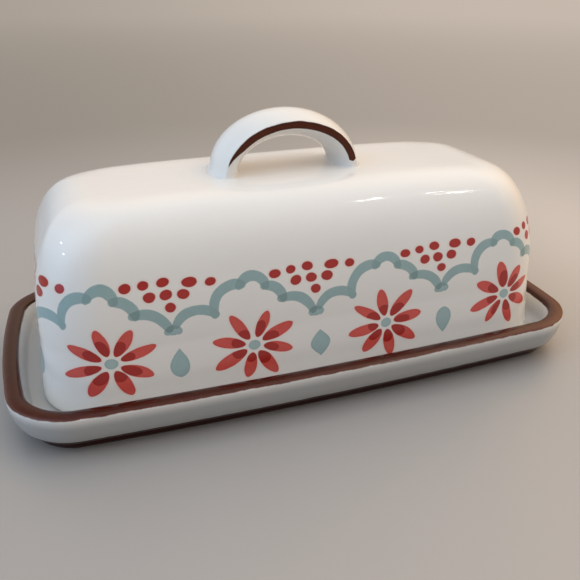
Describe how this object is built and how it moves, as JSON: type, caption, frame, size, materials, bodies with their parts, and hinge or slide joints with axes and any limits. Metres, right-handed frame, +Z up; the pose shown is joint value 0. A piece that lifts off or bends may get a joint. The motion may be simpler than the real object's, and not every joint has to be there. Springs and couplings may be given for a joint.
{
  "type": "butter dish",
  "caption": "Covered butter dish: a domed rounded-rectangle cover with a strap loop handle stands on a shallow tray with a rounded rim and a foot ring.",
  "frame": {"origin": "centre of the rectangle that the foot ring covers, on the surface that it stands on", "axes": "+Z up, +X along the length of the dish, +Y away from the side that the picture shows"},
  "size_m": [0.1866, 0.0926, 0.0814],
  "materials": {
    "tray_glaze": "glossy white glaze with a brown band on the rim and a brown foot",
    "cover_glaze": "glossy white glaze over a brushed folk-flower border",
    "handle_glaze": "glossy white glaze with brown painted edges"
  },
  "bodies": {
    "tray": {"tray": "tray_glaze"},
    "cover": {"cover": "cover_glaze", "handle": "handle_glaze"}
  },
  "joints": [
    {"name": "cover_lift", "type": "slide", "parent": "tray", "child": "cover", "axis": [0, 0, 1], "range_m": [0, 0.12]}
  ]
}
